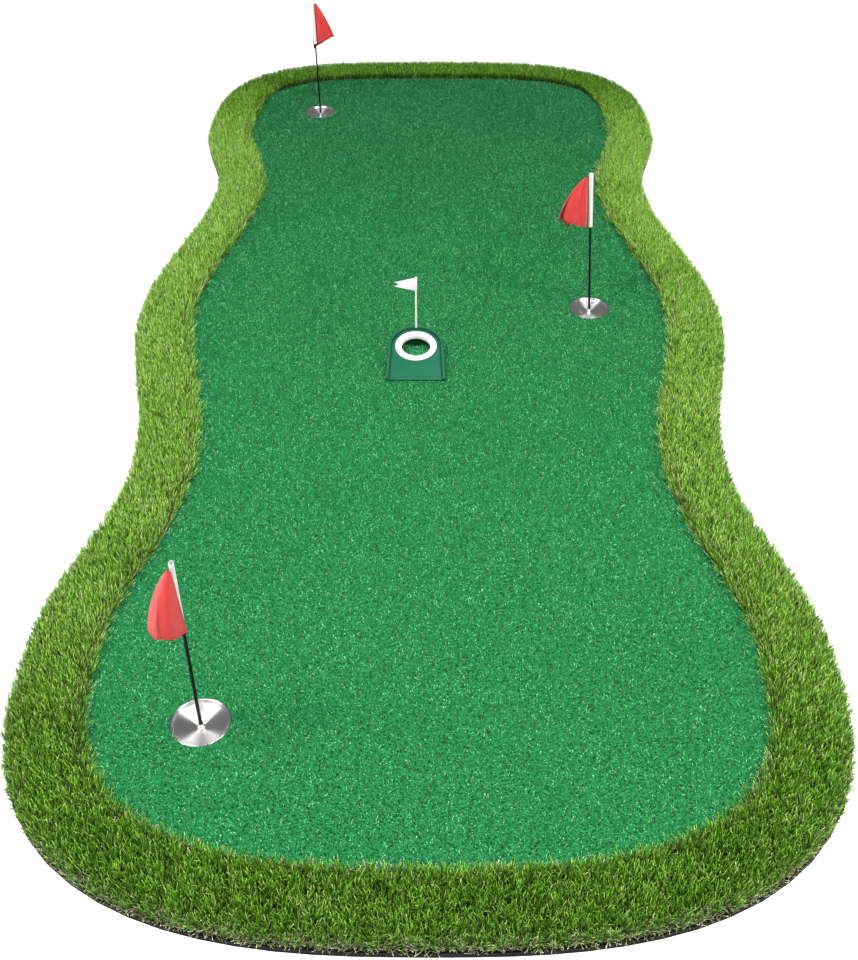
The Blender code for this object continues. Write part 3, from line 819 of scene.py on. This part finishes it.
def mesh_object(name, places, faces, maps):
    """A smooth-shaded mesh of triangles with one map value per vertex."""
    mesh = bpy.data.meshes.new(name)
    mesh.vertices.add(len(places))
    mesh.vertices.foreach_set("co", places.astype(np.float32).ravel())
    mesh.loops.add(faces.size)
    mesh.loops.foreach_set("vertex_index", faces.astype(np.int32).ravel())
    mesh.polygons.add(len(faces))
    mesh.polygons.foreach_set("loop_start", np.arange(0, faces.size, 3, dtype=np.int32))
    mesh.polygons.foreach_set("use_smooth", np.ones(len(faces), bool))
    layer = mesh.uv_layers.new(name="OFBake")
    layer.uv.foreach_set("vector", maps[faces.ravel()].astype(np.float32).ravel())
    mesh.update(calc_edges=True)
    mesh.validate()
    obj = bpy.data.objects.new(name, mesh)
    bpy.context.scene.collection.objects.link(obj)
    return obj


def planted(name, tufts, roots, floor, lean, size, shade, rng):
    """Tufts at their roots: turned at random, leant by a shift per height, each with its own size
    and shade. Returns pieces of up to MOST_FACES triangles, split along the order of the roots."""
    kind = rng.integers(0, len(tufts), len(roots))
    turn = rng.uniform(0, 2 * np.pi, len(roots))
    most = max(len(tuft.faces) for tuft in tufts)
    pieces = []
    chunks = np.array_split(np.arange(len(roots)), math.ceil(len(roots) * most / MOST_FACES))
    for number, chunk in enumerate(chunks):
        places, faces, maps = [], [], []
        first = 0
        for k, tuft in enumerate(tufts):
            here = chunk[kind[chunk] == k]
            c, s = np.cos(turn[here])[:, None], np.sin(turn[here])[:, None]
            x, y, z = tuft.places.T
            flat_x = (x * c - y * s) * size[here, None]
            flat_y = (x * s + y * c) * size[here, None]
            height = z * size[here, None]
            moved_x = flat_x + lean[here, 0:1] * height + roots[here, 0:1]
            moved_y = flat_y + lean[here, 1:2] * height + roots[here, 1:2]
            places.append(np.stack([moved_x, moved_y, height + floor], 2).reshape(-1, 3))
            across = np.clip(tuft.map[:, 0] + shade[here, None], MAP_EDGE, 1 - MAP_EDGE)
            up = np.broadcast_to(tuft.map[:, 1], across.shape)
            maps.append(np.stack([across, up], 2).reshape(-1, 2))
            steps = first + np.arange(len(here))[:, None, None] * len(tuft.places)
            faces.append((tuft.faces[None] + steps).reshape(-1, 3))
            first += len(here) * len(tuft.places)
        label = f"{name}_{number + 1}" if len(chunks) > 1 else name
        pieces.append(mesh_object(label, *map(np.concatenate, (places, faces, maps))))
    return pieces


def round_the_mat(points):
    """The order of points by their bearing from the middle, so that each piece is one stretch."""
    return np.argsort(np.arctan2(points[:, 1], points[:, 0]))


def along_the_mat(points):
    """The order of points from the near end to the far one."""
    return np.argsort(points[:, 1])


def make_blades(outer, inner, rng):
    """The tall blades, leaning out over the outer edge and in over the green."""
    roots = sown(rng, TUFT_SPACING, outer.min(0), outer.max(0))
    roots = roots[inside(roots, outer) & ~inside(roots, inner)]
    roots = roots[round_the_mat(roots)]
    rim, from_rim = away_from(roots, outer)
    seam, from_seam = away_from(roots, inner)
    lean = rng.normal(0, 0.16, roots.shape)
    lean -= from_rim * (close_to(rim, RIM_STRIP) * RIM_LEAN)[:, None]
    sideways = 0.1 + 0.9 * np.abs(from_seam[:, 0])
    lean -= from_seam * (close_to(seam, SEAM_STRIP) * SEAM_LEAN * sideways)[:, None]
    patches = drift(roots, 0.30, rng)
    size = 0.97 + 0.02 * patches + rng.normal(0, 0.03, len(roots))
    size *= 1 - SHORT_RIM * close_to(rim, SHORT_RIM_STRIP) * rng.uniform(0.3, 1, len(roots))
    size *= 1 - SHORT_SEAM * close_to(seam, SHORT_SEAM_STRIP) * np.clip(-from_seam[:, 1], 0, 1)
    # Painted shade: blades are coloured darker towards both ends of the mat, where less light
    # reaches them
    shaded_ends = np.clip((np.abs(roots[:, 1]) - PAINTED_SHADE_FROM) / PAINTED_SHADE_OVER, 0, 1)
    painted_end_shade = shaded_ends * np.where(roots[:, 1] > 0, PAINTED_SHADE_FAR_END, PAINTED_SHADE_NEAR_END)
    shade = BLADE_SHADE + 0.03 * patches - painted_end_shade + rng.normal(0, 0.05, len(roots))
    bleached = PALE_SHARE * close_to(np.minimum(rim, seam), PALE_STRIP)
    shade[rng.uniform(0, 1, len(roots)) < bleached] += PALE_LIFT
    finish = fringe_finish()
    pieces = planted(
        "fringe_blades", fringe_tufts(rng), roots, BACKING_TOP, lean, size, shade, rng
    )
    for piece in pieces:
        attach(finish.on(piece, "fringe_turf"), "mat")
    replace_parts(pieces[0], "fringe_pile")


def make_thatch(outer, inner, rng):
    """Curled straw between the roots of the tall blades."""
    spots = sown(rng, THATCH_SPACING, outer.min(0), outer.max(0))
    spots = spots[inside(spots, outer) & ~inside(spots, inner)]
    rim = away_from(spots, outer)[0]
    seam = away_from(spots, inner)[0]
    between = np.where(seam < THATCH_SEAM_STRIP, THATCH_AT_SEAM, THATCH_BETWEEN)
    cover = np.where(rim < THATCH_RIM_STRIP, THATCH_AT_RIM, between)
    spots = spots[rng.uniform(0, 1, len(spots)) < cover]
    spots = spots[round_the_mat(spots)]
    rim, from_rim = away_from(spots, outer)
    curls = curl_knots(rng, **THATCH_KNOT)
    lean = rng.normal(0, 0.25, spots.shape)
    lean -= from_rim * (close_to(rim, THATCH_RIM_STRIP) * THATCH_RIM_LEAN)[:, None]
    shade = THATCH_SHADE + rng.normal(0, 0.17, len(spots))
    size = THATCH_SIZE + rng.normal(0, 0.15, len(spots))
    finish = thatch_finish()
    for piece in planted("fringe_thatch", curls, spots, BACKING_TOP, lean, size, shade, rng):
        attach(finish.on(piece, "fringe_turf"), "mat")


def make_fringe(outer, inner):
    """The tall turf round the green, blades first."""
    rng = np.random.default_rng(FRINGE_SEED)
    make_blades(outer, inner, rng)
    make_thatch(outer, inner, rng)


def by_trainer(points):
    """Which points the trainer stands over, and which of them its ring leaves open."""
    low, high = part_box("trainer_ramp")
    centre = round_box("trainer_ring")[0]
    covered = (points[:, 0] > low.x) & (points[:, 0] < high.x)
    covered &= (points[:, 1] > low.y) & (points[:, 1] < high.y)
    from_centre = np.hypot(points[:, 0] - centre.x, points[:, 1] - centre.y)
    return covered, from_centre < RING_TURF_RADIUS


def make_green(inner):
    """The short pile: a bed of packed roots, and curled fibres that rise to the pile's top."""
    bed = cad_copy("green_pile", "green_pile_bed")
    bpy.ops.object.mode_set(mode="EDIT")
    pick(bed, lambda place: place.z > GREEN_TOP - PILE_DEPTH)
    bpy.ops.transform.translate(value=(0, 0, -PILE_DEPTH))
    bpy.ops.object.mode_set(mode="OBJECT")
    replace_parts(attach(green_bed_finish().on(bed, "green_turf"), "mat"), "green_pile")
    rng = np.random.default_rng(GREEN_SEED)
    roots = sown(rng, CURL_SPACING, inner.min(0), inner.max(0))
    roots = roots[inside(roots, inner)]
    roots = roots[hole_gaps(roots) > CURL_BESIDE_CUP]
    roots = roots[along_the_mat(roots)]
    patches = drift(roots, 0.5, rng)
    lean = rng.normal(0, 0.35, roots.shape)
    size = 1 + rng.normal(0, 0.10, len(roots))
    covered, opened = by_trainer(roots)
    size[covered & ~opened] *= PRESSED_SIZE
    shade = CURL_SHADE + 0.03 * patches + rng.normal(0, 0.18, len(roots))
    # Painted light: the turf in the ring's opening is coloured lighter to offset the shade the
    # trainer casts there
    shade[opened] += RING_TURF_PAINTED_LIGHT
    knots = curl_knots(rng, **CURL_KNOT)
    finish = green_finish()
    floor = GREEN_TOP - PILE_DEPTH - CURL_SINK
    for piece in planted("green_fibres", knots, roots, floor, lean, size, shade, rng):
        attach(finish.on(piece, "green_turf"), "mat")


# ---------------------------------------------------------------- cups and flagsticks


def placed(obj, matrix, body, finish, slot, *nodes):
    """Stands a finished piece in its place, gives it its body and finish, and hides the CAD nodes
    that it replaces.
    """
    obj.matrix_world = matrix
    settled(obj)
    finish.on(obj, slot)
    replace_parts(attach(obj, body), *nodes)
    return obj


def sheet_loop(surface, sheet):
    """A closed profile of sheet metal whose upper face is the surface."""
    return surface + [(radius, height - sheet) for radius, height in reversed(surface)]


def make_cup(hole):
    """A spun dish: a shallow cone, a rounded knuckle, a short steep wall and a rolled rim."""
    low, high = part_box(hole + "_cup")
    centre, rim = round_box(hole + "_cup")
    floor = low.z + CUP_SHEET
    cone_edge = rim - CUP_WALL_INSET
    cone_top = floor + math.tan(math.radians(CUP_DISH_SLOPE)) * (cone_edge - CUP_FLAT_RADIUS)
    rise = high.z - cone_top
    surface = [
        (CUP_BORE, floor),
        (CUP_FLAT_RADIUS - 0.001, floor),
        (CUP_FLAT_RADIUS, floor + 0.0002),
        ((CUP_FLAT_RADIUS + cone_edge) / 2, (floor + 0.0002 + cone_top) / 2),
        (cone_edge - 0.0006, cone_top - 0.0001),
        (cone_edge + 0.0006, cone_top + 0.04 * rise),
        (cone_edge + 0.0016, cone_top + 0.14 * rise),
        (cone_edge + 0.0024, cone_top + 0.30 * rise),
        (cone_edge + 0.0034, cone_top + 0.58 * rise),
        (cone_edge + 0.0042, cone_top + 0.82 * rise),
        (cone_edge + 0.0048, cone_top + 0.93 * rise),
        (cone_edge + 0.0056, high.z - 0.0001),
        (rim - 0.0012, high.z),
        (rim - 0.0004, high.z - 0.0001),
        (rim, high.z - 0.0004),
    ]
    cup = turned(hole + "_spun_cup", sheet_loop(surface, CUP_SHEET), 128, closed=True)
    place = Matrix.Translation((centre.x, centre.y, 0))
    finish = steel_finish(hole, centre)
    placed(cup, place, hole + "_cup_unit", finish, "stainless", hole + "_cup")
    make_socket(hole, place, floor)


def make_socket(hole, place, floor):
    """The flagstick's socket: a tail, a collar on the cup's floor and a body with a groove."""
    low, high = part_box(hole + "_socket")
    pole = POLE_RADIUS + POLE_CLEARANCE
    collar = (high.x - low.x) / 2
    body = collar - COLLAR_WIDTH
    ledge = floor + COLLAR_TOP
    socket = turned(hole + "_turned_socket", [
        (TAIL_RADIUS, low.z), (TAIL_RADIUS, floor + 0.0003), (collar - 0.0002, floor + 0.0003),
        (collar, floor + 0.0006), (collar, ledge - 0.0005), (collar - 0.0004, ledge),
        (body + 0.0003, ledge), (body, ledge + 0.0003), (body, high.z - 0.0026),
        (body - 0.0003, high.z - 0.0023), (body - 0.0003, high.z - 0.0019),
        (body, high.z - 0.0016), (body, high.z - 0.0006), (body - 0.0005, high.z),
        (pole + 0.0003, high.z), (pole, high.z - 0.0004), (pole, ledge),
    ], 48)
    placed(socket, place, hole + "_cup_unit", nickel_finish(), "nickel", hole + "_socket")
    nickel_finish().on(NODES[hole + "_locknut"], "nickel")


def stand_of(hole):
    """The matrix that stands a piece on the flagstick's own axis, with the pole's foot at 0."""
    joint = JOINTS[hole + "_flag_turn"]
    turn = Vector((0, 0, 1)).rotation_difference(Vector(joint["axis"]))
    return Matrix.Translation(joint["pos_m"]) @ turn.to_matrix().to_4x4()


def cloth_map(obj, spots):
    """Gives a cloth its map in metres, from one (across, along) for each vertex."""
    layer = obj.data.uv_layers.get("Cloth") or obj.data.uv_layers.new(name="Cloth")
    for i, loop in enumerate(obj.data.loops):
        layer.data[i].uv = spots[loop.vertex_index]


def make_sleeve(hole, bearing):
    """The pole hem: a flattened tube of white webbing, rolled over at its open ends."""
    top = POLE_LENGTH + SLEEVE_ABOVE_POLE
    foot = top - SLEEVE_HEIGHT
    outer, inner = SLEEVE_HALF_WIDTH, SLEEVE_HALF_WIDTH - SLEEVE_WALL
    ribs = 40
    heights = [foot + 0.0004 + i * (SLEEVE_HEIGHT - 0.0008) / ribs for i in range(ribs + 1)]
    wavy = [(outer - 0.00012 * (1 + math.sin(i * 1.9)), h) for i, h in enumerate(heights)]
    sleeve = turned(hole + "_pole_hem", [
        (inner, foot + 0.0004), (inner + 0.0002, foot), (outer - 0.0003, foot), *wavy,
        (outer - 0.0003, top), (inner + 0.0002, top), (inner, top - 0.0004),
    ], 40, closed=True)
    only(sleeve)
    bpy.ops.object.mode_set(mode="EDIT")
    bpy.ops.mesh.select_all(action="SELECT")
    share = SLEEVE_HALF_DEPTH / SLEEVE_HALF_WIDTH
    bpy.ops.transform.resize(value=(1, share, 1), center_override=(0, 0, 0))
    bpy.ops.object.mode_set(mode="OBJECT")
    cloth_map(sleeve, [
        (abs(math.atan2(v.co.y, v.co.x)) * outer, v.co.z) for v in sleeve.data.vertices
    ])
    place = stand_of(hole) @ Matrix.Rotation(math.radians(bearing), 4, "Z")
    finish = webbing_finish()
    return placed(sleeve, place, hole + "_flag_unit", finish, "white_webbing", hole + "_sleeve")


def fold_between(folds, share):
    """A smooth curve through the folds' leans, at a share of the way across the cloth."""
    at = share * (len(folds) - 1)
    i = min(int(at), len(folds) - 2)
    t = at - i
    before, start, end, after = (
        Vector(folds[max(0, min(len(folds) - 1, i + k))]) for k in (-1, 0, 1, 2)
    )
    return 0.5 * (
        2 * start + (end - before) * t + (2 * before - 5 * start + 4 * end - after) * t * t
        + (3 * start - before - 3 * end + after) * t ** 3
    )


def make_flag(hole, bearing):
    """The red cloth: a triangle cut from one sheet, hung from the hem in soft folds."""
    folds = FLAG_FOLDS[hole]
    hoist = SLEEVE_HEIGHT - FLAG_DROP_FROM_TOP
    corner = math.atan2(FLAG_FLY, hoist / 2)
    slope = math.atan2(hoist / 2, FLAG_FLY)
    turn = math.radians(bearing)
    stand_off = SLEEVE_HALF_WIDTH + 0.0003 + FLAG_CLEARANCE
    top = Vector((math.cos(turn), math.sin(turn), 0)) * stand_off
    top.z = POLE_LENGTH + SLEEVE_ABOVE_POLE - FLAG_DROP_FROM_TOP
    flag = started(hole + "_flag_cloth", bpy.ops.mesh.primitive_grid_add,
                   x_subdivisions=FLAG_GRID, y_subdivisions=FLAG_GRID, size=1)
    cuts, hems = [], []
    phase = FLAG_PHASE[hole]
    for vert in flag.data.vertices:
        share = min(max(vert.co.x + 0.5, 0.0), 1.0)
        step = min(max(0.5 - vert.co.y, 0.0), 1.0)
        reach = hoist * math.cos(slope) / math.cos(corner * share - slope)
        reach *= FLAG_TOP_CUT + (1 - FLAG_TOP_CUT) * step
        stiff = FLAG_STIFFNESS[hole] * (1 - reach / hoist) * min(1, 2.5 * share)
        lean = fold_between(folds, share) * (1 + stiff)
        ripple = math.sin(share * 19 + phase + 2.0 * step) * 0.5
        ripple += math.sin(share * 31 - phase + 5 * step) * 0.3
        lean += Vector((lean.y, -lean.x)) * ripple * FLAG_RIPPLE[hole] * min(1, 8 * share)
        if lean.length > FLAG_MOST_LEAN:
            lean = lean.normalized() * FLAG_MOST_LEAN
        vert.co = top + Vector((lean.x, lean.y, -math.sqrt(1 - lean.length_squared))) * reach
        cut = (reach * math.sin(corner * share), -reach * math.cos(corner * share))
        cuts.append(cut)
        # How far this point of the cut lies from the lower edge, the upper edge and the pole
        below = (hoist + cut[1]) * math.cos(slope) - cut[0] * math.sin(slope)
        above = -cut[1] * math.cos(slope) - cut[0] * math.sin(slope)
        hems.append(min(below, above, cut[0] + 0.004))
    cloth_map(flag, cuts)
    hem = flag.data.attributes.new("hem", "FLOAT", "POINT")
    hem.data.foreach_set("value", hems)
    modified(flag, "SMOOTH", factor=0.5, iterations=2)
    modified(flag, "SOLIDIFY", thickness=FLAG_SHEET, offset=0.0)
    placed(flag, stand_of(hole), hole + "_flag_unit", flag_finish(), "red_cloth", hole + "_flag")


def make_flagsticks():
    """Each hole's cup, rod, hem and cloth."""
    for hole, bearing in FLAG_BEARINGS.items():
        make_cup(hole)
        pole = turned(hole + "_rod", [
            (POLE_RADIUS - 0.0006, 0), (POLE_RADIUS - 0.0002, 0.0002), (POLE_RADIUS, 0.0006),
            *[(POLE_RADIUS, POLE_LENGTH * i / 12) for i in range(1, 12)],
            (POLE_RADIUS, POLE_LENGTH - 0.0006), (POLE_RADIUS - 0.0002, POLE_LENGTH - 0.0002),
            (POLE_RADIUS - 0.0006, POLE_LENGTH),
        ], 32)
        placed(pole, stand_of(hole), hole + "_flagstick", pole_finish(), "pole_black",
               hole + "_pole")
        make_sleeve(hole, bearing)
        make_flag(hole, bearing)


# ---------------------------------------------------------------- ramp trainer


def fitted(obj, node):
    """Moves an object so that its box is centred over a CAD node's, with its top as high."""
    low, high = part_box(node)
    co = [obj.matrix_world @ v.co for v in obj.data.vertices]
    least = Vector([min(c[i] for c in co) for i in range(3)])
    most = Vector([max(c[i] for c in co) for i in range(3)])
    move = (low + high) / 2 - (least + most) / 2
    move.z = high.z - most.z
    obj.location += move
    return obj


def rounded(node, name, width, segments, angle):
    """A copy of a CAD node with its sharp edges rounded."""
    return modified(cad_copy(node, name), "BEVEL", width=width, segments=segments,
                    limit_method="ANGLE", angle_limit=math.radians(angle))


def make_trainer():
    """The ramp with its ring, and the small stick with its pennant."""
    here = Matrix.Identity(4)
    ramp = rounded("trainer_ramp", "trainer_moulding", 0.0009, 3, 40)
    placed(ramp, here, "trainer", ramp_finish(), "ramp_green", "trainer_ramp")

    bore, face, wall = RING_BORE, RING_BORE + RING_FACE, RING_BORE + RING_WALL
    ring = turned("trainer_target_ring", [
        (bore, -RING_SLEEVE), (bore, RING_FLANGE - 0.0008), (bore + 0.0003, RING_FLANGE - 0.0002),
        (bore + 0.0009, RING_FLANGE + 0.0003), (bore + 0.0026, RING_FLANGE + 0.0003),
        (bore + 0.0030, RING_FLANGE + 0.0001), (face - 0.0030, RING_FLANGE + 0.0001),
        (face - 0.0026, RING_FLANGE + 0.0003), (face - 0.0009, RING_FLANGE + 0.0003),
        (face - 0.0003, RING_FLANGE - 0.0002), (face, RING_FLANGE - 0.0008), (face, 0.0003),
        (wall, 0.0003), (wall, -RING_SLEEVE),
    ], 96, closed=True)
    ring.rotation_euler = (math.radians(TRAINER_TILT), 0, 0)
    bpy.context.view_layer.update()
    fitted(ring, "trainer_ring")
    bpy.context.view_layer.update()
    white = moulded_finish("white moulding", (0.66, 0.62, 0.63), (0.74, 0.71, 0.72), 0.32)
    placed(ring, ring.matrix_world.copy(), "trainer", white, "white_plastic", "trainer_ring")

    stem = rounded("trainer_stem", "trainer_stem_moulding", 0.0002, 2, 50)
    white = moulded_finish("white stem", (0.72, 0.70, 0.71), (0.80, 0.78, 0.79), 0.35)
    placed(stem, here, "trainer_flagstick", white, "white_plastic", "trainer_stem")

    pennant = rounded("trainer_flag", "trainer_pennant", 0.00025, 2, 50)
    film = moulded_finish("pennant film", (0.72, 0.60, 0.67), (0.80, 0.71, 0.76), 0.4)
    placed(pennant, here, "trainer_flagstick", film, "pennant_white", "trainer_flag")


# ---------------------------------------------------------------- studio


def make_studio():
    """A pale floor, soft light from both sides, above and the front, and the camera."""
    floor = started("studio_floor", bpy.ops.mesh.primitive_plane_add, size=FLOOR_SIZE,
                    location=(0, 0, -FLOOR_GAP))
    finish = Finish("studio floor", roughness=0.9, specular_ior_level=0.1,
                    emission_color=(1, 1, 1, 1), emission_strength=FLOOR_GLOW)
    soft = finish.noise(finish.place(), 3.0)
    finish.set(base_color=finish.colours(soft, [(0.3, grey(0.93)), (0.7, grey(0.95))]))
    finish.on(floor)
    world = bpy.data.worlds.new("studio air")
    world.use_nodes = True
    background = world.node_tree.nodes["Background"]
    background.inputs["Color"].default_value = (1.0, 1.0, 1.0, 1.0)
    background.inputs["Strength"].default_value = WORLD_LIGHT
    bpy.context.scene.world = world
    for name, place, aim, size, power in SOFTBOXES:
        bpy.ops.object.light_add(type="AREA", location=place)
        light = bpy.context.object
        light.name = name
        light.data.shape = "RECTANGLE"
        light.data.size, light.data.size_y = size
        light.data.energy = power
        light.rotation_euler = (Vector(aim) - Vector(place)).to_track_quat("-Z", "Y").to_euler()
    bpy.ops.object.camera_add(location=CAMERA_PLACE)
    camera = bpy.context.object
    camera.name = "product_camera"
    camera.rotation_euler = (math.radians(90 - CAMERA_DIP), 0, math.radians(CAMERA_TURN))
    camera.data.lens = CAMERA_LENS
    camera.data.sensor_width = 36.0
    camera.data.clip_end = 100
    bpy.context.scene.camera = camera
    bpy.context.scene.view_settings.view_transform = "Standard"


def finish_carried_nodes():
    """Finishes for the CAD nodes that stay as they are."""
    rubber_finish().on(NODES["rubber_base"], "rubber")
    backing = backing_finish()
    backing.on(NODES["fringe_backing"], "backing")
    backing.on(NODES["green_backing"], "backing")
    tape = moulded_finish("seam tape", grey(0.012), grey(0.025), 0.7, 900.0)
    tape.on(NODES["seam_tape"], "tape")


outer_edge, inner_edge = fringe_outlines()
finish_carried_nodes()
make_fringe(outer_edge, inner_edge)
make_green(inner_edge)
make_flagsticks()
make_trainer()
make_studio()
